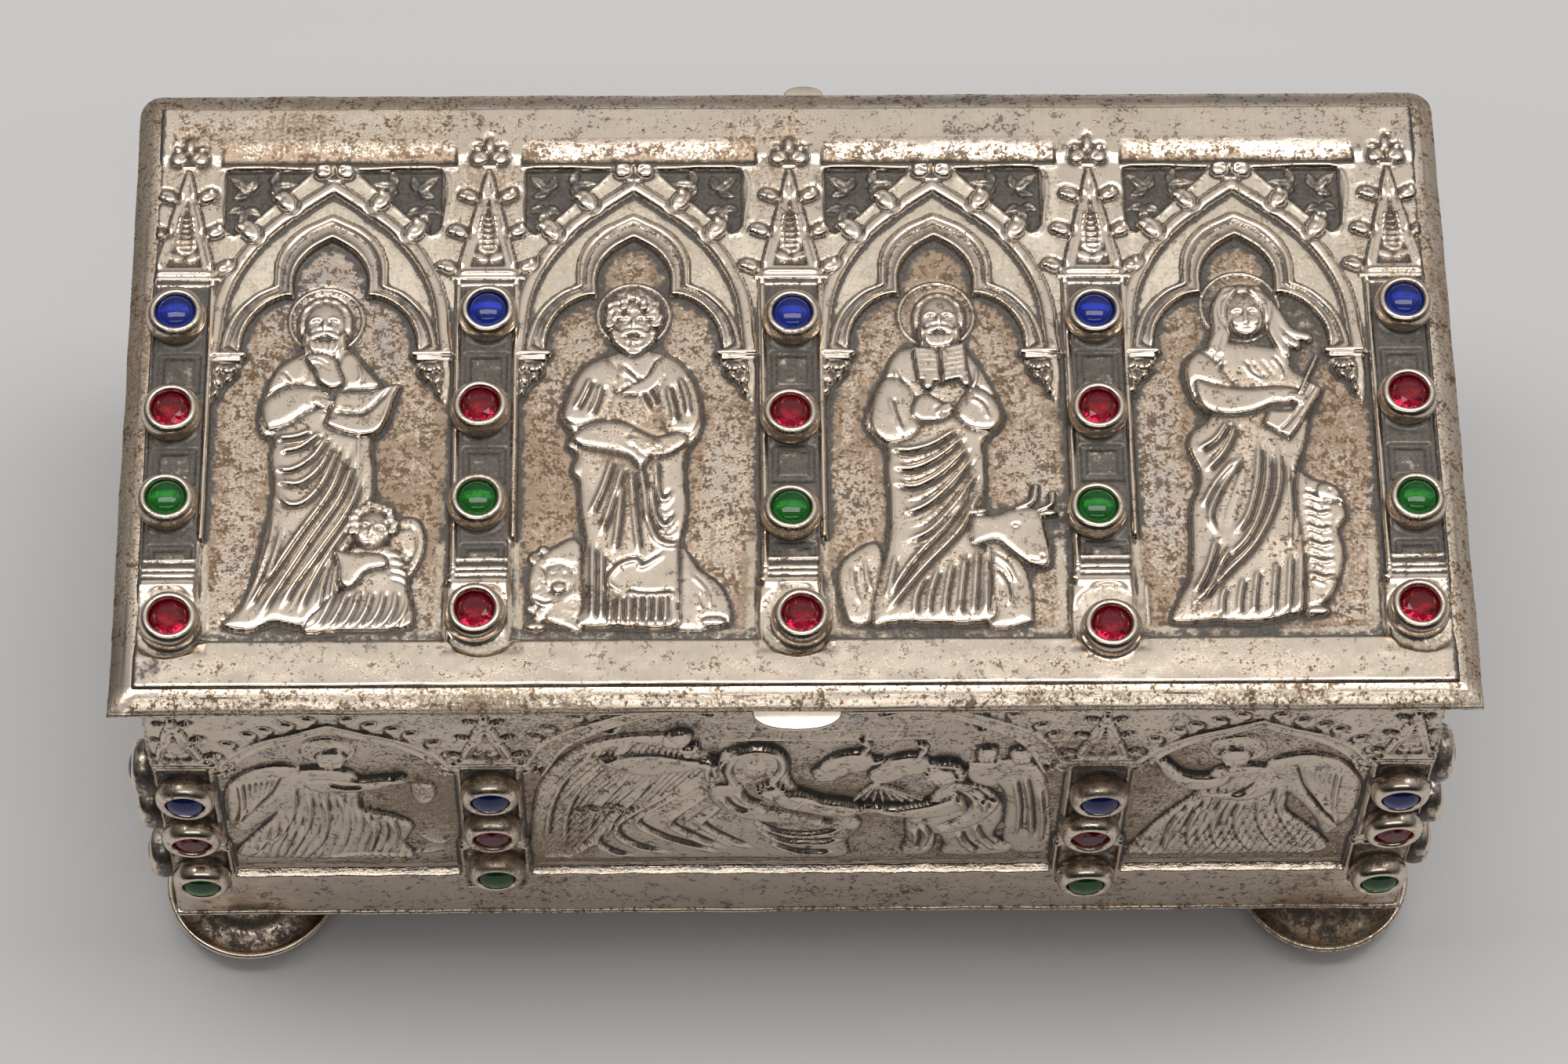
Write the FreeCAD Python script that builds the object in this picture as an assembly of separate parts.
# Silver casket: a hinged box of embossed arcade panels, set with glass stones in collets.
# Millimetres, +Z up, the front towards -Y, the origin on the table under the casket's middle.
import FreeCAD
import Part
import math
import os

Vector = FreeCAD.Vector

# Casket body
casket_width = 150.0
casket_depth = 78.0
wall_height = 57.9
floor_thickness = 0.8
floor_edge = 0.4

# Embossed sheet, shared by the lid panel and the four walls
sheet_backing = 0.5
relief_depth = 1.1
edge_round = 0.5
overlap = 0.2

# Lid
rim_overhang = 2.8
rim_edge = 0.7
rim_rise = 1.2
lid_plate_thickness = 0.6
lid_seat_gap = 0.1
flange_depth = 2.0
flange_thickness = 0.6
flange_clearance = 0.3

# Thumb piece at the front of the lid and stop tab at its back
thumb_half_width = 5.1
thumb_reach = 2.1
thumb_thickness = 0.6
stop_offset = 1.9
stop_half_width = 2.4
stop_reach = 1.2
stop_thickness = 0.5
stop_rounding = 9.6
lid_stop_angle = 100.0

# Hinge
knuckle_radius = 1.3
knuckle_length = 18.5
knuckle_count = 5
knuckle_gap = 0.15
knuckle_end_gap = 0.2
knuckle_web = 1.0
pin_radius = 0.6
pin_clearance = 0.05
pin_end = 0.4

# Bun feet
foot_height = 7.0
foot_radius = 10.7
foot_sole_radius = 4.6
foot_neck_radius = 5.6
foot_girdle_height = 4.0
foot_girdle_band = 0.5
foot_side_inset = 8.6
foot_front_inset = 6.0
foot_under_share = 0.2
foot_over_share = 0.12

# Stones and their collets
collet_radius = 3.35
collet_foot_radius = 3.05
collet_height = 3.0
collet_wall = 0.75
collet_lip = 0.3
collet_floor = 0.5
collet_seat_gap = 0.1
stone_gap = 0.05
stone_drop = 0.6
cabochon_rise = 1.35
facet_rise = 0.9
facet_table_share = 0.58
facet_sides = 8

# Columns of the arcades
lid_bays = 4
shaft_width = 7.2
shaft_level = 0.35
ridge_width = 0.4
ridge_level = 0.1
impost_height = 1.5
impost_width = 8.6
impost_level = 0.25
base_step = 0.8
pedestal_width = 8.4
pedestal_frame = 0.7
pedestal_level = 0.0
pedestal_panel_level = 0.5
gable_width = 6.4
gable_level = 0.05
gable_hollow_level = 0.45
gable_hollow_share = 0.45
crocket_radius = 0.85
crocket_sink = 0.3
finial_radius = 0.95
finial_spread = 0.75
corbel_width = 3.0
corbel_height = 5.6
corbel_level = 0.15

# Arches and their tracery
arch_band = 1.1
arch_level = 0.0
arch_tip_share = 1.4
tracery_level = 0.5
spandrel_level = 0.95
spandrel_margin = 1.3
foil_band = 0.8
foil_level = 0.2
leaf_radius = 1.3
leaf_rise = 1.0
sill_height = 2.0
head_slope = 4.0
head_slope_level = 0.8

# Borders round the arcades
lid_front_border = 6.2
lid_back_border = 8.7
wall_bottom_border = 10.6
wall_top_border = 3.4

# Low relief figures
halo_radius = 4.2
halo_limit_share = 0.33
halo_level = 0.85
head_level = 0.15
robe_level = 0.4
arm_level = 0.15
beast_level = 0.5

# Heights of the arcade's parts, as shares of its field from the lower border up
lid_shares = {
    "foot": -0.035, "pedestal": 0.124, "springing": 0.599, "impost": 0.75, "apex": 0.962,
    "gable": 1.02, "spandrel": 0.75, "bulge": 0.134,
}
wall_shares = {
    "foot": -0.1, "pedestal": 0.196, "springing": 0.629, "impost": 0.66, "apex": 0.915,
    "gable": 0.938, "spandrel": 0.75, "bulge": 0.186,
}
wide_shares = dict(wall_shares, apex=0.993, spandrel=0.7, bulge=0.16)

# Heights of the rows of stones, and each stone's own stray from its row and column
# as shares of the collet's radius
lid_row_shares = (0.032, 0.258, 0.461, 0.667)
wall_row_shares = (0.021, 0.31, 0.549)
lid_stray_shares = (
    ((0.15, -0.06), (-0.21, 0.18), (0.18, -0.06), (0.0, -0.5), (-0.18, 0.18)),
    ((-0.15, 0.27), (-0.18, 0.2), (-0.12, -0.24), (-0.3, -0.24), (0.03, 0.06)),
    ((-0.15, -0.03), (-0.15, 0.06), (-0.09, -0.27), (-0.09, -0.12), (0.03, 0.4)),
    ((-0.15, -0.03), (0.06, 0.03), (0.03, -0.18), (-0.06, -0.12), (0.15, 0.27)),
)
wall_stray_shares = (
    ((0.09, 0.0), (0.06, 0.55), (0.0, -0.3), (-0.03, -0.24)),
    ((0.06, -0.2), (0.03, 0.12), (-0.09, -0.15), (0.03, 0.0)),
    ((0.09, -0.15), (0.06, 0.0), (0.06, -0.45), (-0.06, -0.18)),
)

# Outline of the trefoil opening: half widths as shares of the niche's, rises as shares of the arch's
cusp_half_share = 0.47
cusp_rise_share = 0.36
lobe_half_share = 0.5
lobe_rise_share = 0.56
lobe_apex_share = 0.76
side_lobe_half_share = 0.83
side_lobe_rise_share = 0.26
wide_cusp_half_share = 0.72
wide_cusp_rise_share = 0.52
wide_lobe_half_share = 0.55
wide_lobe_rise_share = 0.82
wide_lobe_apex_share = 0.9
wide_side_half_share = 0.92
wide_side_rise_share = 0.3

# Crockets along a gable and along an arch, and the leaves of a spandrel
gable_crocket_shares = (0.18, 0.47, 0.76)
arch_crocket_shares = (0.42, 0.72)
leaf_shares = ((0.0, 0.0), (0.8, 0.1), (0.1, 0.8))

# Places derived from the sizes above
column_inset = shaft_width / 2
sheet = sheet_backing + relief_depth
floor_bottom = foot_height
wall_bottom = floor_bottom + floor_thickness
wall_top = wall_bottom + wall_height
lid_underside = wall_top + lid_seat_gap
panel_bottom = lid_underside + lid_plate_thickness
panel_top = panel_bottom + sheet
hinge_offset = knuckle_radius + knuckle_gap
stop_tip = rim_overhang + stop_reach
front_reach = casket_depth / 2 + rim_overhang + thumb_reach
back_reach = casket_depth / 2 + stop_tip
centre_y = (front_reach - back_reach) / 2
front_y = centre_y - casket_depth / 2
back_y = centre_y + casket_depth / 2
hinge_y = back_y + hinge_offset
hinge_z = lid_underside - hinge_offset
stop_lever = stop_tip - hinge_offset
stop_turn = math.radians(lid_stop_angle)
stop_fall = (hinge_offset + stop_lever * math.cos(stop_turn)) / math.sin(stop_turn)
stone_top = collet_height - stone_drop

# Figures in outline, niche by niche: places as shares of the niche's half width and of its height,
# a head's radius as a share of the half width
figure_forms = {
    "elder": {
        "robe": (
            ((-0.049, 0.643), (-0.306, 0.616), (-0.517, 0.58), (-0.623, 0.483), (-0.502, 0.435),
             (-0.479, 0.339), (-0.532, 0.244), (-0.638, 0.12), (-0.864, 0.031), (-0.079, 0.025),
             (0.072, 0.079), (0.2, 0.194), (0.366, 0.285), (0.374, 0.428), (0.411, 0.547),
             (0.238, 0.61)),
        ),
        "arm": (
            ((-0.6, 0.504), (-0.449, 0.542), (-0.223, 0.547), (-0.057, 0.524), (-0.223, 0.489),
             (-0.411, 0.46), (-0.562, 0.456)),
            ((0.064, 0.53), (0.343, 0.534), (0.577, 0.552), (0.525, 0.498), (0.404, 0.446),
             (0.23, 0.44), (0.004, 0.455), (-0.034, 0.488)),
            ((-0.155, 0.633), (0.026, 0.629), (0.094, 0.555), (-0.019, 0.545), (-0.147, 0.57)),
        ),
        "beast": (
            ((0.019, 0.079), (0.147, 0.112), (0.132, 0.175), (0.54, 0.198), (0.781, 0.255),
             (0.842, 0.217), (0.698, 0.12), (0.751, 0.026), (-0.14, 0.021)),
        ),
        "head": (
            (-0.079, 0.694, 0.226),
            (0.389, 0.239, 0.158),
        ),
        "halo": (
            (-0.072, 0.699),
        ),
    },
    "curly": {
        "robe": (
            ((-0.011, 0.626), (-0.275, 0.614), (-0.54, 0.577), (-0.675, 0.484), (-0.585, 0.442),
             (-0.577, 0.367), (-0.509, 0.277), (-0.479, 0.145), (-0.502, 0.03), (0.283, 0.028),
             (0.343, 0.178), (0.404, 0.293), (0.404, 0.392), (0.525, 0.448), (0.517, 0.532),
             (0.351, 0.6)),
        ),
        "arm": (
            ((-0.57, 0.435), (-0.374, 0.463), (-0.177, 0.465), (0.034, 0.442), (0.411, 0.435),
             (0.396, 0.412), (0.034, 0.377), (-0.275, 0.402), (-0.509, 0.414)),
            ((-0.238, 0.132), (-0.132, 0.158), (0.034, 0.153), (0.26, 0.178), (0.313, 0.096),
             (-0.208, 0.1)),
        ),
        "beast": (
            ((-0.54, 0.191), (-0.766, 0.193), (-0.932, 0.155), (-0.932, 0.096), (-0.811, 0.031),
             (-0.532, 0.033)),
            ((0.358, 0.185), (0.532, 0.145), (0.721, 0.105), (0.781, 0.035), (0.321, 0.033)),
        ),
        "head": (
            (-0.049, 0.694, 0.230),
        ),
        "halo": (
            (-0.049, 0.708),
        ),
    },
    "reader": {
        "robe": (
            ((-0.328, 0.629), (-0.502, 0.593), (-0.683, 0.491), (-0.683, 0.445), (-0.525, 0.402),
             (-0.525, 0.217), (-0.63, 0.112), (-0.653, 0.028), (0.306, 0.036), (0.321, 0.129),
             (0.245, 0.236), (0.313, 0.359), (0.321, 0.422), (0.479, 0.47), (0.419, 0.537),
             (0.223, 0.611), (-0.034, 0.636)),
        ),
        "arm": (
            ((-0.547, 0.554), (-0.638, 0.47), (-0.517, 0.423), (-0.268, 0.445), (-0.268, 0.498),
             (-0.358, 0.545)),
            ((0.087, 0.484), (0.192, 0.527), (0.313, 0.532), (0.442, 0.507), (0.464, 0.474),
             (0.374, 0.448), (0.208, 0.453)),
            ((-0.275, 0.628), (-0.049, 0.621), (0.17, 0.636), (0.185, 0.562), (-0.034, 0.552),
             (-0.23, 0.557)),
        ),
        "beast": (
            ((-0.955, 0.142), (-0.834, 0.178), (-0.6, 0.196), (-0.547, 0.096), (-0.668, 0.038),
             (-0.887, 0.04)),
            ((0.283, 0.198), (0.509, 0.185), (0.653, 0.129), (0.66, 0.036), (0.26, 0.04)),
            ((0.208, 0.254), (0.419, 0.26), (0.766, 0.27), (0.834, 0.201), (0.819, 0.152),
             (0.66, 0.158), (0.389, 0.201), (0.215, 0.201)),
        ),
        "head": (
            (-0.042, 0.695, 0.226),
        ),
        "halo": (
            (-0.064, 0.705),
        ),
    },
    "youth": {
        "robe": (
            ((-0.177, 0.636), (-0.494, 0.608), (-0.562, 0.55), (-0.419, 0.474), (-0.562, 0.422),
             (-0.509, 0.343), (-0.585, 0.244), (-0.63, 0.129), (-0.774, 0.033), (-0.132, 0.033),
             (0.336, 0.066), (0.328, 0.277), (0.343, 0.359), (0.487, 0.488), (0.502, 0.547),
             (0.306, 0.619)),
        ),
        "arm": (
            ((-0.479, 0.547), (-0.042, 0.532), (0.381, 0.527), (0.351, 0.502), (-0.004, 0.483),
             (-0.23, 0.478), (-0.426, 0.494)),
            ((0.502, 0.547), (0.608, 0.532), (0.389, 0.45), (0.306, 0.427), (0.094, 0.455),
             (0.215, 0.491)),
        ),
        "beast": (
            ((0.306, 0.331), (0.487, 0.334), (0.683, 0.306), (0.743, 0.254), (0.698, 0.178),
             (0.608, 0.096), (0.457, 0.063), (0.313, 0.082)),
        ),
        "head": (
            (-0.026, 0.7, 0.257),
        ),
        "halo": (
            (-0.057, 0.722),
        ),
    },
    "kneeling": {
        "robe": (
            ((0.072, 0.636), (-0.26, 0.657), (-0.479, 0.569), (-0.577, 0.35), (-0.819, 0.177),
             (-0.955, 0.063), (-0.487, 0.034), (0.283, 0.029), (0.585, 0.052), (0.615, 0.25),
             (0.434, 0.331), (0.185, 0.386), (0.208, 0.558)),
        ),
        "arm": (
            ((-0.245, 0.605), (-0.223, 0.535), (0.087, 0.516), (0.494, 0.569), (0.442, 0.597),
             (0.011, 0.608)),
        ),
        "beast": (
            ((-0.336, 0.652), (-0.608, 0.67), (-0.894, 0.579), (-0.962, 0.428), (-0.947, 0.271),
             (-0.811, 0.245), (-0.638, 0.334), (-0.366, 0.496)),
        ),
        "head": (
            (-0.019, 0.72, 0.136),
        ),
        "halo": (
            (-0.034, 0.775),
        ),
    },
    "praying": {
        "robe": (
            ((-0.072, 0.621), (-0.389, 0.579), (-0.525, 0.428), (-0.66, 0.156), (-0.781, 0.044),
             (-0.268, 0.026), (0.336, 0.031), (0.653, 0.052), (0.487, 0.245), (0.396, 0.48),
             (0.245, 0.584)),
        ),
        "arm": (
            ((-0.389, 0.537), (-0.449, 0.443), (-0.343, 0.394), (-0.072, 0.423), (0.23, 0.389),
             (0.336, 0.449), (0.26, 0.537), (-0.072, 0.48)),
        ),
        "beast": (
            ((0.291, 0.6), (0.532, 0.689), (0.804, 0.631), (0.955, 0.454), (0.925, 0.23),
             (0.743, 0.167), (0.502, 0.36)),
            ((-0.419, 0.589), (-0.623, 0.652), (-0.857, 0.569), (-0.902, 0.402), (-0.796, 0.271),
             (-0.509, 0.469)),
        ),
        "head": (
            (-0.064, 0.665, 0.143),
        ),
        "halo": (
            (-0.057, 0.72),
        ),
    },
    "group": {
        "robe": (
            ((-0.611, 0.769), (-0.756, 0.731), (-0.881, 0.611), (-0.971, 0.418), (-0.984, 0.058),
             (-0.772, 0.034), (-0.547, 0.187), (-0.431, 0.394), (-0.309, 0.567), (-0.412, 0.697)),
            ((-0.18, 0.716), (-0.27, 0.678), (-0.334, 0.567), (-0.444, 0.413), (-0.611, 0.245),
             (-0.791, 0.101), (-0.913, 0.024), (0, 0.014), (0.18, 0.024), (0.042, 0.192),
             (0.023, 0.308), (0.045, 0.418), (-0.055, 0.62), (-0.106, 0.697)),
            ((0.598, 0.55), (0.72, 0.49), (0.794, 0.361), (0.804, 0.216), (0.875, 0.096),
             (0.865, 0.019), (0.45, 0.024), (0.559, 0.139), (0.521, 0.361), (0.537, 0.486)),
        ),
        "arm": (
            ((-0.296, 0.534), (-0.309, 0.447), (-0.193, 0.385), (-0.032, 0.361), (0.174, 0.394),
             (0.177, 0.425), (-0.032, 0.481), (-0.212, 0.534)),
            ((0.585, 0.474), (0.556, 0.418), (0.437, 0.404), (0.379, 0.43), (0.469, 0.45),
             (0.527, 0.49)),
        ),
        "beast": (
            ((0.071, 0.365), (0.132, 0.293), (0.322, 0.284), (0.489, 0.313), (0.508, 0.399),
             (0.322, 0.423), (0.161, 0.413)),
            ((0.058, 0.692), (0.154, 0.702), (0.219, 0.644), (0.219, 0.562), (0.154, 0.502),
             (0.045, 0.625)),
            ((0.424, 0.692), (0.328, 0.702), (0.264, 0.644), (0.264, 0.562), (0.328, 0.502),
             (0.437, 0.625)),
            ((0.778, 0.625), (0.878, 0.601), (0.952, 0.49), (0.977, 0.274), (0.987, 0.062),
             (0.916, 0.034), (0.855, 0.178), (0.82, 0.37), (0.765, 0.51)),
        ),
        "head": (
            (-0.495, 0.745, 0.055),
            (-0.158, 0.599, 0.061),
            (-0.09, 0.502, 0.039),
            (0.559, 0.587, 0.058),
            (0.842, 0.659, 0.045),
            (0.714, 0.673, 0.042),
        ),
        "halo": (),
    },
}


def box(x0, x1, y0, y1, z0, z1):
    """Block between two corners."""
    return Part.makeBox(x1 - x0, y1 - y0, z1 - z0, Vector(x0, y0, z0))


def prism(points, z0, z1):
    """Straight-sided outline raised from z0 to z1."""
    corners = [Vector(x, y, z0) for x, y in points]
    face = Part.Face(Part.makePolygon(corners + corners[:1]))
    return face.extrude(Vector(0, 0, z1 - z0))


def cap(x, y, radius, base, rise):
    """Upper part of a ball: a round boss of the given radius and rise above its base."""
    ball_radius = (radius**2 + rise**2) / (2 * rise)
    ball = Part.makeSphere(ball_radius, Vector(x, y, base + rise - ball_radius))
    keep = box(x - radius, x + radius, y - radius, y + radius, base - overlap, base + rise)
    return ball.common(keep)


def bead(x, y, radius, level, sink):
    """Ball whose middle lies sink below the given level."""
    return Part.makeSphere(radius, Vector(x, y, level - sink))


def bulged_middle(start, end, bulge, side):
    """Middle point of an arc from start to end that bulges to one side by a share of its chord."""
    dx = end[0] - start[0]
    dy = end[1] - start[1]
    return (
        (start[0] + end[0]) / 2 - side * dy * bulge,
        (start[1] + end[1]) / 2 + side * dx * bulge,
    )


def arc_edge(start, middle, end, z):
    return Part.Arc(Vector(*start, z), Vector(*middle, z), Vector(*end, z)).toShape()


def line_edge(start, end, z):
    return Part.LineSegment(Vector(*start, z), Vector(*end, z)).toShape()


def arch_face(middle, half, bottom, springing, apex, bulge, z):
    """Pointed arch on straight jambs, as a face at height z."""
    foot_left, foot_right = (middle - half, bottom), (middle + half, bottom)
    spring_left, spring_right = (middle - half, springing), (middle + half, springing)
    top = (middle, apex)
    edges = [
        line_edge(foot_left, foot_right, z),
        line_edge(foot_right, spring_right, z),
        arc_edge(spring_right, bulged_middle(spring_right, top, bulge, -1), top, z),
        arc_edge(top, bulged_middle(top, spring_left, bulge, -1), spring_left, z),
        line_edge(spring_left, foot_left, z),
    ]
    return Part.Face(Part.Wire(edges))


def foil_shares(wide):
    if wide:
        return (
            wide_cusp_half_share, wide_cusp_rise_share, wide_lobe_half_share, wide_lobe_rise_share,
            wide_lobe_apex_share, wide_side_half_share, wide_side_rise_share,
        )
    return (
        cusp_half_share, cusp_rise_share, lobe_half_share, lobe_rise_share,
        lobe_apex_share, side_lobe_half_share, side_lobe_rise_share,
    )


def trefoil_face(middle, half, bottom, springing, apex, wide, grow, z):
    """Niche with a trefoil head, as a face at height z, widened all round by grow."""
    cusp_half, cusp_rise, lobe_half, lobe_rise, lobe_apex, side_half, side_rise = foil_shares(wide)
    rise = apex - springing
    reach = half + grow
    right = [
        (middle + reach, springing),
        (middle + half * side_half + grow, springing + rise * side_rise + grow),
        (middle + half * cusp_half + grow, springing + rise * cusp_rise + grow),
        (middle + half * lobe_half + grow, springing + rise * lobe_rise + grow),
        (middle, springing + rise * lobe_apex + grow),
    ]
    left = [(2 * middle - x, y) for x, y in right]
    edges = [
        line_edge((middle - reach, bottom), (middle + reach, bottom), z),
        line_edge((middle + reach, bottom), right[0], z),
        arc_edge(right[0], right[1], right[2], z),
        arc_edge(right[2], right[3], right[4], z),
        arc_edge(right[4], left[3], left[2], z),
        arc_edge(left[2], left[1], left[0], z),
        line_edge(left[0], (middle - reach, bottom), z),
    ]
    return Part.Face(Part.Wire(edges))


def raised(face, height):
    return face.extrude(Vector(0, 0, height))


def clipped(middle, half, panel_half):
    """Left and right ends of a column's member, kept inside the panel's rounded edge."""
    limit = panel_half - edge_round - ridge_width
    return max(middle - half, -limit), min(middle + half, limit)


def pedestal_span(field, shares):
    """Lower and upper ends of the columns' pedestals."""
    bottom, top = field
    return bottom + (top - bottom) * shares["foot"], bottom + (top - bottom) * shares["pedestal"]


def column_solids(middle, field, shares, panel_half, keep_left, keep_right):
    """Shaft, impost, base, gable, crockets and finial of one column, in panel coordinates."""
    bottom, top = field
    height = top - bottom
    pedestal_low, pedestal_top = pedestal_span(field, shares)
    impost_bottom = bottom + height * shares["impost"]
    impost_top = impost_bottom + impost_height
    ground = -relief_depth - overlap
    solids = []
    x0, x1 = clipped(middle, shaft_width / 2, panel_half)
    solids.append(box(x0, x1, pedestal_top, impost_bottom, ground, -shaft_level))
    for edge in (x0, x1 - ridge_width):
        solids.append(box(edge, edge + ridge_width, pedestal_top, impost_bottom, ground, -ridge_level))
    x0, x1 = clipped(middle, impost_width / 2, panel_half)
    solids.append(box(x0, x1, impost_bottom, impost_top, ground, impost_level))
    for step in range(2):
        half = shaft_width / 2 + (2 - step) * (pedestal_width - shaft_width) / 4
        x0, x1 = clipped(middle, half, panel_half)
        low = pedestal_top + step * base_step
        solids.append(box(x0, x1, low, low + base_step, ground, ridge_level - step * ridge_level))
    x0, x1 = clipped(middle, pedestal_width / 2, panel_half)
    solids.append(box(x0, x1, pedestal_low, pedestal_top, ground, -pedestal_level))
    gable_top = bottom + height * shares["gable"]
    half = min(gable_width / 2, panel_half - abs(middle))
    outline = [(middle - half, impost_top), (middle + half, impost_top), (middle, gable_top)]
    gable = prism(outline, ground, -gable_level)
    centre_height = impost_top + (gable_top - impost_top) * gable_hollow_share / 2
    hollow = [
        (middle + (x - middle) * gable_hollow_share,
         centre_height + (y - centre_height) * gable_hollow_share)
        for x, y in outline
    ]
    solids.append(gable.cut(prism(hollow, -gable_hollow_level, overlap)))
    for share in gable_crocket_shares:
        y = impost_top + (gable_top - impost_top) * share
        reach = half * (1 - share) + crocket_radius
        for side, keep in ((-1, keep_left), (1, keep_right)):
            if keep:
                solids.append(bead(middle + side * reach, y, crocket_radius, 0, crocket_sink))
    for side in (-1, 1):
        solids.append(bead(middle + side * finial_spread, gable_top, finial_radius, 0, crocket_sink))
    solids.append(bead(middle, gable_top + finial_radius, finial_radius, 0, crocket_sink))
    return solids


def pedestal_recess(middle, field, shares, panel_half):
    """Sunk panel in the face of a pedestal."""
    pedestal_low, pedestal_top = pedestal_span(field, shares)
    x0, x1 = clipped(middle, pedestal_width / 2, panel_half)
    return box(
        x0 + pedestal_frame, x1 - pedestal_frame, pedestal_low + pedestal_frame,
        pedestal_top - pedestal_frame, -pedestal_panel_level, overlap,
    )


def bay_plate(middle, half, field, shares, wide):
    """Flat web above an arch: pierced by the trefoil, and sunk beside the arch in two spandrels."""
    bottom, top = field
    springing = bottom + (top - bottom) * shares["springing"]
    apex = bottom + (top - bottom) * shares["apex"]
    ground = -relief_depth - overlap
    low = springing - overlap
    plate = box(middle - half, middle + half, low, top, ground, -tracery_level)
    opening = trefoil_face(
        middle, half - arch_band, low - overlap, springing, apex, wide, 0, ground
    )
    spandrels = box(
        middle - half + spandrel_margin, middle + half - spandrel_margin,
        bottom + (top - bottom) * shares["spandrel"], top - spandrel_margin,
        -spandrel_level, overlap,
    )
    arch = arch_face(
        middle, half + spandrel_margin, low - overlap, springing, apex + 2 * spandrel_margin,
        shares["bulge"], -spandrel_level,
    )
    stem = box(
        middle - 2 * finial_radius, middle + 2 * finial_radius, springing, top,
        -spandrel_level, overlap,
    )
    spandrels = spandrels.cut(raised(arch, spandrel_level + overlap)).cut(stem)
    return plate.cut(raised(opening, relief_depth + overlap)).cut(spandrels)


def arch_rolls(middle, half, field, shares, wide):
    """The arch's outer roll and the roll that follows the trefoil inside it."""
    bottom, top = field
    springing = bottom + (top - bottom) * shares["springing"]
    apex = bottom + (top - bottom) * shares["apex"]
    ground = -relief_depth - overlap
    low = springing - overlap
    inner_half = half - arch_band
    inner_apex = apex - arch_band * arch_tip_share
    outer = arch_face(middle, half, low, springing, apex, shares["bulge"], ground)
    inner = arch_face(
        middle, inner_half, low - overlap, springing, inner_apex, shares["bulge"], ground
    )
    opening = trefoil_face(middle, inner_half, low - overlap, springing, apex, wide, 0, ground)
    foil = trefoil_face(middle, inner_half, low, springing, apex, wide, foil_band, ground)
    return [
        raised(outer.cut(inner), relief_depth + overlap - arch_level),
        raised(foil.cut(opening).common(outer), relief_depth + overlap - foil_level),
    ]


def arch_foliage(middle, half, field, shares, wide):
    """Crockets on an arch's back, its finial, and the leaves in the spandrels beside it."""
    bottom, top = field
    springing = bottom + (top - bottom) * shares["springing"]
    apex = bottom + (top - bottom) * shares["apex"]
    solids = []
    peak = (middle, apex)
    for side in (-1, 1):
        start = (middle + side * half, springing)
        belly = bulged_middle(start, peak, shares["bulge"], -side)
        run = math.hypot(belly[0] - middle, belly[1] - springing)
        outward = [(belly[0] - middle) / run, (belly[1] - springing) / run]
        for share in arch_crocket_shares:
            weights = ((1 - share) ** 2, 2 * share * (1 - share), share**2)
            x, y = (
                sum(weight * point[axis] for weight, point in zip(weights, (start, belly, peak)))
                + outward[axis] * 2 * crocket_radius
                for axis in (0, 1)
            )
            solids.append(bead(x, y, crocket_radius, 0, crocket_sink))
        corner_x = middle + side * (half - 2 * spandrel_margin)
        corner_y = top - 2 * spandrel_margin
        for across, down in leaf_shares:
            x = corner_x - side * across * 2 * leaf_radius
            y = corner_y - down * 2 * leaf_radius
            solids.append(cap(x, y, leaf_radius, -relief_depth, leaf_rise))
    if not wide:
        for side in (-1, 1):
            x = middle + side * finial_spread
            solids.append(bead(x, apex + finial_radius, finial_radius, 0, crocket_sink))
        solids.append(bead(middle, apex + 2 * finial_radius, finial_radius, 0, crocket_sink))
    return solids


def corbels(middle, half, field, shares):
    """Tapering brackets under the two feet of an arch."""
    springing = field[0] + (field[1] - field[0]) * shares["springing"]
    low = springing - corbel_height
    solids = []
    for side in (-1, 1):
        outer = middle + side * half
        outline = [(outer, springing), (outer - side * corbel_width, springing), (outer, low)]
        solids.append(prism(outline, -relief_depth - overlap, -corbel_level))
    return solids


def figure_solids(middle, half, field, shares, kind):
    """A niche's figures as low plateaus: haloes, beasts and wings, robes, arms and books, and heads."""
    bottom, top = field
    height = (top - bottom) * shares["apex"]
    ground = -relief_depth - overlap
    forms = figure_forms[kind]
    solids = []
    for form, level in (("beast", beast_level), ("robe", robe_level), ("arm", arm_level)):
        for outline in forms[form]:
            points = [(middle + x * half, bottom + y * height) for x, y in outline]
            solids.append(prism(points, ground, -level))
    halo = min(halo_radius, half * halo_limit_share)
    for x, y in forms["halo"]:
        foot = Vector(middle + x * half, bottom + y * height, ground)
        solids.append(Part.makeCylinder(halo, relief_depth + overlap - halo_level, foot))
    for x, y, share in forms["head"]:
        solids.append(cap(
            middle + x * half, bottom + y * height, share * half, -relief_depth, relief_depth - head_level
        ))
    return solids


def wedge(x0, x1, low, high, low_level, high_level):
    """Slanting hollow across a panel, from one depth at its lower edge to another at its upper one."""
    corners = [
        Vector(x0, low, overlap), Vector(x0, high, overlap),
        Vector(x0, high, -high_level), Vector(x0, low, -low_level),
    ]
    return Part.Face(Part.makePolygon(corners + corners[:1])).extrude(Vector(x1 - x0, 0, 0))


def border_plate(width, height, low, high):
    """Plain sheet with its outer upper edge rounded."""
    half = width / 2
    plate = box(-half, half, 0, height, -sheet, 0)
    rounded = [
        edge for edge in plate.Edges
        if all(abs(vertex.Point.z) < overlap for vertex in edge.Vertexes)
    ]
    return plate.makeFillet(min(edge_round, low / 2, high / 2), rounded)


def column_places(width, bays):
    """Middles of the columns on both sides of each bay, the bays given by their relative widths."""
    places = [-width / 2 + column_inset]
    run = width - 2 * column_inset
    for bay in bays:
        places.append(places[-1] + run * bay / sum(bays))
    return places


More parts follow.
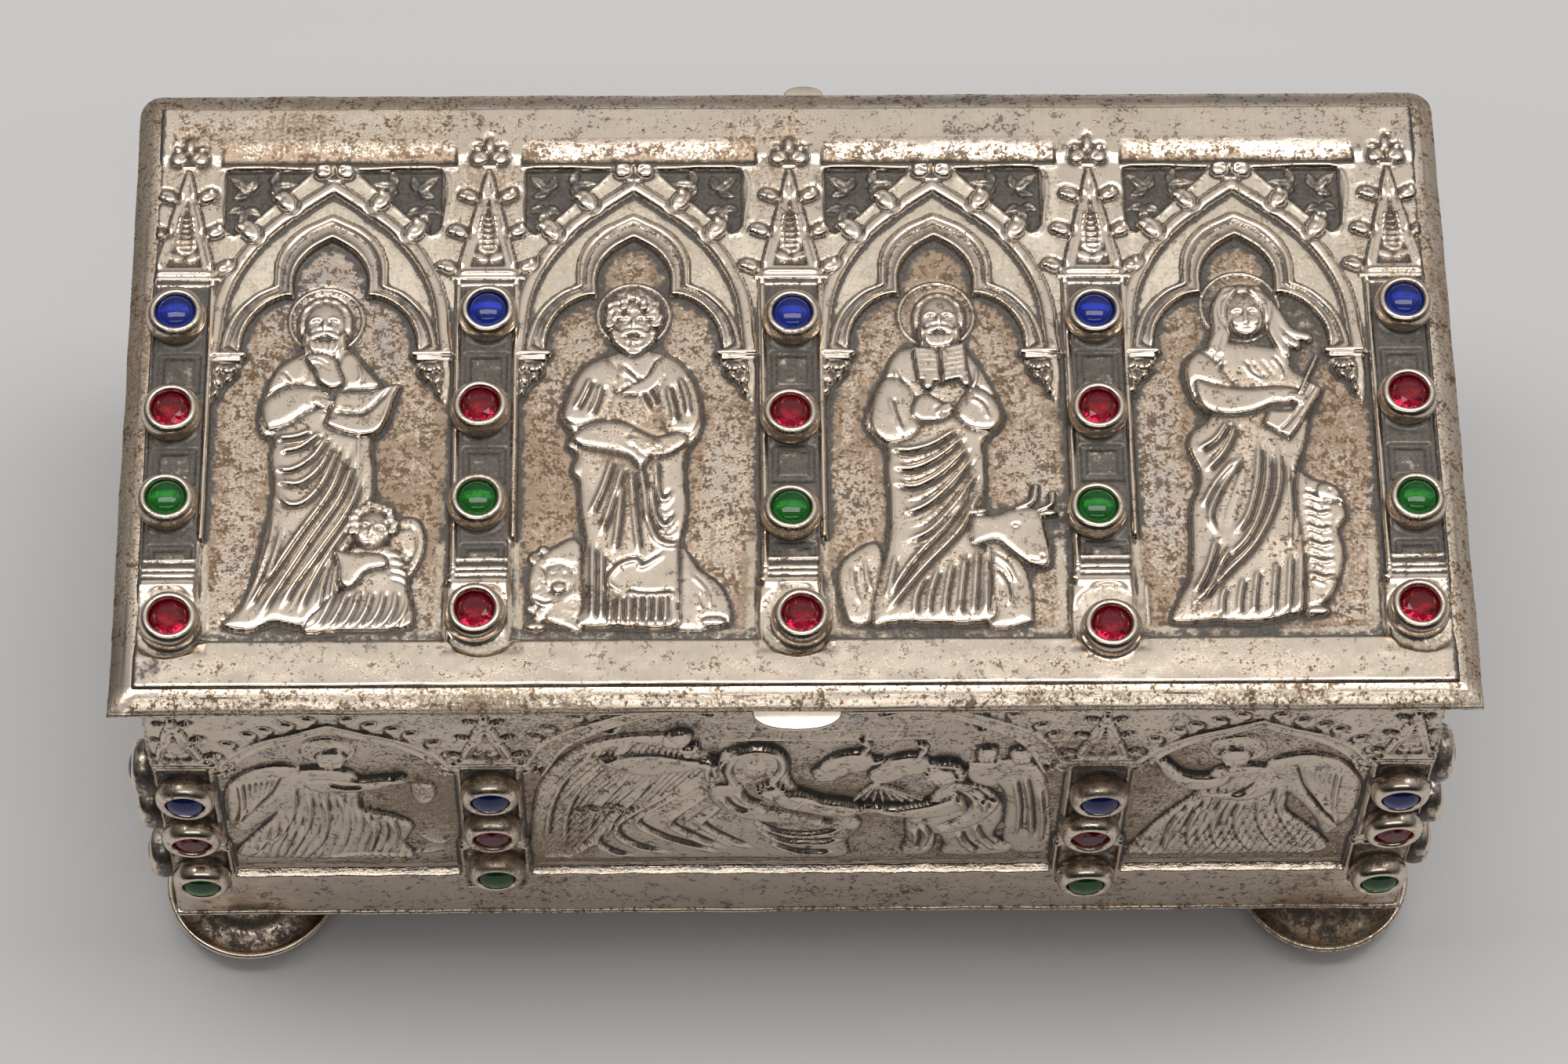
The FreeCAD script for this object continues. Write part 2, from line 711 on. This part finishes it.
def setting_places(width, field, bays, row_shares, stray_shares):
    """Places of a panel's collets and the depth of their seats, row by row from the lower border up."""
    bottom, top = field
    limit = width / 2 - collet_foot_radius
    rows = []
    for row, share in enumerate(row_shares):
        y = bottom + (top - bottom) * share
        level = -pedestal_panel_level if row == 0 else -shaft_level
        places = []
        for x, stray in zip(column_places(width, bays), stray_shares[row]):
            shifted = x + stray[0] * collet_radius
            places.append((max(-limit, min(limit, shifted)), y + stray[1] * collet_radius, level))
        rows.append(places)
    return rows


def collet_seats(rows):
    """Round clearings in the relief for the collets to stand in."""
    radius = collet_radius + collet_seat_gap
    return [
        Part.makeCylinder(radius, relief_depth - level, Vector(x, y, level))
        for row in rows for x, y, level in row
    ]


def arcade_panel(width, height, low, high, bays, shares_of, figures, rows, sill, slope):
    """An embossed panel in its own coordinates: x across, y up, its plain border's top at z = 0."""
    field = (low, height - high)
    half_width = width / 2
    columns = column_places(width, bays)
    panel = border_plate(width, height, low, high)
    panel = panel.cut(box(columns[0], columns[-1], low + sill, field[1], -relief_depth, overlap))
    if sill:
        panel = panel.cut(wedge(columns[0], columns[-1], low, low + sill, 0, relief_depth))
    raised_parts = []
    recesses = collet_seats(rows)
    for index, x in enumerate(columns):
        raised_parts += column_solids(
            x, field, shares_of[1], half_width, index > 0, index < len(bays)
        )
        recesses.append(pedestal_recess(x, field, shares_of[1], half_width))
    slopes = []
    for index, bay in enumerate(bays):
        middle = (columns[index] + columns[index + 1]) / 2
        half = (columns[index + 1] - columns[index]) / 2 - pedestal_width / 2 - ridge_width
        shares = shares_of[bay]
        wide = bay > 1
        if slope:
            reach = half + ridge_width
            slopes.append(wedge(
                middle - reach, middle + reach, field[1], field[1] + slope, head_slope_level, 0
            ))
        raised_parts.append(bay_plate(middle, half, field, shares, wide))
        raised_parts += arch_rolls(middle, half, field, shares, wide)
        raised_parts += arch_foliage(middle, half, field, shares, wide)
        raised_parts += corbels(middle, half, field, shares)
        raised_parts += figure_solids(middle, half, (low + sill, field[1]), shares, figures[index])
    if slopes:
        panel = panel.cut(slopes)
    panel = panel.multiFuse(raised_parts).cut(recesses)
    return panel.common(box(-half_width, half_width, 0, height, -sheet, relief_depth))


def collet():
    """A turned cup for one stone, standing on z = 0."""
    bore = collet_radius - collet_wall
    lip = collet_lip
    points = [
        (0, 0), (collet_foot_radius, 0), (collet_radius, collet_height / 2),
        (collet_radius, collet_height - lip), (collet_radius - lip, collet_height),
        (bore - lip, collet_height), (bore, collet_height - lip),
        (bore, collet_floor), (0, collet_floor),
    ]
    profile = Part.makePolygon([Vector(x, 0, z) for x, z in points + points[:1]])
    return Part.Face(profile).revolve(Vector(0, 0, 0), Vector(0, 0, 1), 360)


def cabochon():
    """A domed stone on a low girdle, seated on the collet's floor."""
    radius = collet_radius - collet_wall - stone_gap
    base = Part.makeCylinder(radius, stone_top - collet_floor, Vector(0, 0, collet_floor))
    ball_radius = (radius**2 + cabochon_rise**2) / (2 * cabochon_rise)
    ball = Part.makeSphere(ball_radius, Vector(0, 0, stone_top + cabochon_rise - ball_radius))
    dome = ball.common(Part.makeCylinder(radius, cabochon_rise, Vector(0, 0, stone_top)))
    return base.fuse(dome).removeSplitter()


def faceted_stone():
    """A cut stone: an eight-sided crown with a flat table over a straight girdle."""
    radius = collet_radius - collet_wall - stone_gap

    def ring(reach, z):
        corners = [
            Vector(
                reach * math.cos(2 * math.pi * side / facet_sides),
                reach * math.sin(2 * math.pi * side / facet_sides), z,
            )
            for side in range(facet_sides)
        ]
        return Part.makePolygon(corners + corners[:1])

    girdle = ring(radius, stone_top)
    table = ring(radius * facet_table_share, stone_top + facet_rise)
    base = Part.makeLoft([ring(radius, collet_floor), girdle], True, True)
    return base.fuse(Part.makeLoft([girdle, table], True, True)).removeSplitter()


def set_along(template, places):
    """One copy of a small solid at each place of a row."""
    copies = []
    for x, y, level in places:
        solid = template.copy()
        solid.translate(Vector(x, y, level))
        copies.append(solid)
    return copies


def to_side(shape, turn, reach):
    """From panel coordinates to a wall that faces turn degrees round from the front."""
    shape = shape.copy()
    shape.rotate(Vector(0, 0, 0), Vector(1, 0, 0), 90)
    shape.translate(Vector(0, -reach, wall_bottom))
    shape.rotate(Vector(0, 0, 0), Vector(0, 0, 1), turn)
    shape.translate(Vector(0, centre_y, 0))
    return shape


def to_lid(shape):
    """From panel coordinates to the lid's top."""
    shape = shape.copy()
    shape.translate(Vector(0, front_y, panel_top))
    return shape


def mitred(panel, width, height):
    """Cuts a wall's two ends at 45 degrees, from its outer face in."""
    half = width / 2
    reach = sheet + relief_depth
    for side in (-1, 1):
        corner = [
            Vector(side * half, -overlap, 0),
            Vector(side * (half + reach), -overlap, 0),
            Vector(side * (half + reach), -overlap, -reach),
            Vector(side * (half - reach), -overlap, -reach),
        ]
        face = Part.Face(Part.makePolygon(corner + corner[:1]))
        panel = panel.cut(face.extrude(Vector(0, height + 2 * overlap, 0)))
    return panel


def wall_panel(width, bays, figures, rows):
    panel = arcade_panel(
        width, wall_height, wall_bottom_border, wall_top_border, bays,
        {1: wall_shares, 2: wide_shares}, figures, rows, sill_height, 0,
    )
    return mitred(panel, width, wall_height)


def foot(x, y):
    """A bun foot, turned: flat sole, full girdle and a neck under the floor plate."""
    girdle_low = foot_girdle_height - foot_girdle_band / 2
    girdle_high = foot_girdle_height + foot_girdle_band / 2
    sole = (foot_sole_radius, 0)
    neck = (foot_neck_radius, foot_height)
    low = (foot_radius, girdle_low)
    high = (foot_radius, girdle_high)

    def edge_point(point):
        return Vector(point[0], 0, point[1])

    lower_middle = bulged_middle(sole, low, foot_under_share, -1)
    upper_middle = bulged_middle(high, neck, foot_over_share, -1)
    edges = [
        Part.LineSegment(Vector(0, 0, 0), edge_point(sole)).toShape(),
        Part.Arc(edge_point(sole), edge_point(lower_middle), edge_point(low)).toShape(),
        Part.LineSegment(edge_point(low), edge_point(high)).toShape(),
        Part.Arc(edge_point(high), edge_point(upper_middle), edge_point(neck)).toShape(),
        Part.LineSegment(edge_point(neck), Vector(0, 0, foot_height)).toShape(),
        Part.LineSegment(Vector(0, 0, foot_height), Vector(0, 0, 0)).toShape(),
    ]
    turned = Part.Face(Part.Wire(edges)).revolve(Vector(0, 0, 0), Vector(0, 0, 1), 360)
    turned.translate(Vector(x, y, 0))
    return turned


def floor_plate():
    half_x = casket_width / 2 + floor_edge
    half_y = casket_depth / 2 + floor_edge
    return box(-half_x, half_x, centre_y - half_y, centre_y + half_y, floor_bottom, wall_bottom)


def lid_plate():
    """Flat lid with a raised, outward sloping rim round the embossed panel."""
    half_x = casket_width / 2
    half_y = casket_depth / 2
    outer_x = half_x + rim_overhang
    outer_y = half_y + rim_overhang
    base = box(-outer_x, outer_x, centre_y - outer_y, centre_y + outer_y, lid_underside, panel_bottom)
    edge_top = lid_underside + rim_edge
    rim_top = panel_bottom + rim_rise

    def ring(x, y, z):
        corners = [
            Vector(-x, centre_y - y, z), Vector(x, centre_y - y, z),
            Vector(x, centre_y + y, z), Vector(-x, centre_y + y, z),
        ]
        return Part.makePolygon(corners + corners[:1])

    slope = Part.makeLoft([ring(outer_x, outer_y, edge_top), ring(half_x, half_y, rim_top)], True, True)
    low = box(-outer_x, outer_x, centre_y - outer_y, centre_y + outer_y, lid_underside, edge_top)
    well = box(-half_x, half_x, centre_y - half_y, centre_y + half_y, panel_bottom, rim_top + overlap)
    return low.fuse(slope).fuse(base.common(low.fuse(slope))).cut(well).removeSplitter()


def lid_flange():
    """Strip under the lid that drops just inside the walls."""
    half_x = casket_width / 2 - sheet - flange_clearance
    half_y = casket_depth / 2 - sheet - flange_clearance
    low = lid_underside - flange_depth
    outer = box(-half_x, half_x, centre_y - half_y, centre_y + half_y, low, lid_underside)
    inner = box(
        -half_x + flange_thickness, half_x - flange_thickness,
        centre_y - half_y + flange_thickness, centre_y + half_y - flange_thickness,
        low - overlap, lid_underside + overlap,
    )
    return outer.cut(inner)


def thumb_piece():
    """Half-round tab that lies against the rim's front edge."""
    edge_y = front_y - rim_overhang
    low = lid_underside
    arc = arc_edge((-thumb_half_width, edge_y), (0, edge_y - thumb_reach), (thumb_half_width, edge_y), low)
    chord = line_edge((thumb_half_width, edge_y), (-thumb_half_width, edge_y), low)
    return Part.Face(Part.Wire([arc, chord])).extrude(Vector(0, 0, thumb_thickness))


def stop_tab():
    """Half-round tab at the back of the rim, with a tongue that meets the wall when the lid is open."""
    edge_y = back_y + rim_overhang
    left, right = stop_offset - stop_half_width, stop_offset + stop_half_width
    low = lid_underside
    arc = arc_edge((left, edge_y), (stop_offset, edge_y + stop_reach), (right, edge_y), low)
    tab = Part.Face(Part.Wire([arc, line_edge((right, edge_y), (left, edge_y), low)]))
    tab = tab.extrude(Vector(0, 0, stop_thickness))
    tip = box(
        stop_offset - stop_half_width / 2, stop_offset + stop_half_width / 2,
        edge_y + stop_reach - 2 * stop_thickness, edge_y + stop_reach,
        hinge_z - stop_fall, low + stop_thickness,
    )
    rounding = Part.makeCylinder(
        stop_rounding, low + stop_thickness,
        Vector(stop_offset, edge_y + stop_reach - stop_rounding, 0),
    )
    return tab.fuse(tip.common(rounding)).removeSplitter()


def hinge_segment(index):
    """Start and end of one knuckle along X."""
    start = (index - knuckle_count / 2) * knuckle_length
    return start + knuckle_end_gap / 2, start + knuckle_length - knuckle_end_gap / 2


def knuckle(index, on_lid):
    """One knuckle with the web that joins it to the lid's underside or to the back wall."""
    x0, x1 = hinge_segment(index)
    barrel = Part.makeCylinder(knuckle_radius, x1 - x0, Vector(x0, hinge_y, hinge_z), Vector(1, 0, 0))
    half = knuckle_web / 2
    if on_lid:
        web = box(x0, x1, hinge_y - half, hinge_y + half, hinge_z, lid_underside)
    else:
        web = box(x0, x1, back_y, hinge_y, hinge_z - half, hinge_z + half)
    bore = Part.makeCylinder(
        pin_radius + pin_clearance, x1 - x0, Vector(x0, hinge_y, hinge_z), Vector(1, 0, 0)
    )
    return barrel.fuse(web).cut(bore)


def hinge_pin():
    x0 = hinge_segment(0)[0] - pin_end
    x1 = hinge_segment(knuckle_count - 1)[1] + pin_end
    return Part.makeCylinder(pin_radius, x1 - x0, Vector(x0, hinge_y, hinge_z), Vector(1, 0, 0))


def save(name, solids):
    """One STEP file for a node, holding its separate solids."""
    shape = solids[0] if len(solids) == 1 else Part.makeCompound(solids)
    if not shape.isValid():
        print("invalid shape:", name)
    print(name, len(shape.Solids), round(shape.Volume, 1))
    shape.exportStep(os.path.join("parts", name + ".step"))


def save_stones(prefix, rows, move):
    """Collets and stones of one panel: green, red and blue going up, with a red row below on the lid."""
    colours = ("red", "green", "red", "blue") if len(rows) == 4 else ("green", "red", "blue")
    cup = collet()
    shapes = {"blue": cabochon(), "green": cabochon(), "red": faceted_stone()}
    cups = []
    stones = {"blue": [], "green": [], "red": []}
    for colour, row in zip(colours, rows):
        cups += [move(solid) for solid in set_along(cup, row)]
        stones[colour] += [move(solid) for solid in set_along(shapes[colour], row)]
    save(prefix + "_collets", cups)
    for colour, solids in stones.items():
        save(prefix + "_" + colour + "_stones", solids)


def main():
    os.makedirs("parts", exist_ok=True)
    lid_bay_list = [1] * lid_bays
    lid_figures = ["elder", "curly", "reader", "youth"]
    lid_field = (lid_front_border, casket_depth - lid_back_border)
    lid_rows = setting_places(
        casket_width, lid_field, lid_bay_list, lid_row_shares, lid_stray_shares
    )
    panel = arcade_panel(
        casket_width, casket_depth, lid_front_border, lid_back_border, lid_bay_list,
        {1: lid_shares}, lid_figures, lid_rows, 0, head_slope,
    )
    save("lid_panel", [to_lid(panel)])
    save("lid_plate", [lid_plate()])
    save("lid_flange", [lid_flange()])
    save("thumb_piece", [thumb_piece()])
    save("stop_tab", [stop_tab()])
    save_stones("lid", lid_rows, to_lid)

    long_bays = [1, 2, 1]
    short_bays = [1, 1]
    wall_field = (wall_bottom_border, wall_height - wall_top_border)
    long_rows = setting_places(
        casket_width, wall_field, long_bays, wall_row_shares, wall_stray_shares
    )
    short_rows = setting_places(
        casket_depth, wall_field, short_bays, wall_row_shares, wall_stray_shares
    )
    long_wall = wall_panel(casket_width, long_bays, ["kneeling", "group", "praying"], long_rows)
    short_wall = wall_panel(casket_depth, short_bays, ["kneeling", "praying"], short_rows)
    half_width, half_depth = casket_width / 2, casket_depth / 2
    sides = (
        ("front", long_wall, long_rows, 0, half_depth),
        ("back", long_wall, long_rows, 180, half_depth),
        ("left", short_wall, short_rows, -90, half_width),
        ("right", short_wall, short_rows, 90, half_width),
    )
    for name, wall, rows, turn, reach in sides:
        def move(shape, turn=turn, reach=reach):
            return to_side(shape, turn, reach)

        save(name + "_wall", [move(wall)])
        save_stones(name, rows, move)

    save("floor_plate", [floor_plate()])
    foot_x = half_width - foot_side_inset
    foot_y = half_depth - foot_front_inset
    for name, x, y in (
        ("front_left_foot", -foot_x, -foot_y), ("front_right_foot", foot_x, -foot_y),
        ("back_left_foot", -foot_x, foot_y), ("back_right_foot", foot_x, foot_y),
    ):
        save(name, [foot(x, centre_y + y)])

    save("wall_knuckles", [knuckle(i, False) for i in range(0, knuckle_count, 2)])
    save("lid_knuckles", [knuckle(i, True) for i in range(1, knuckle_count, 2)])
    save("hinge_pin", [hinge_pin()])


main()
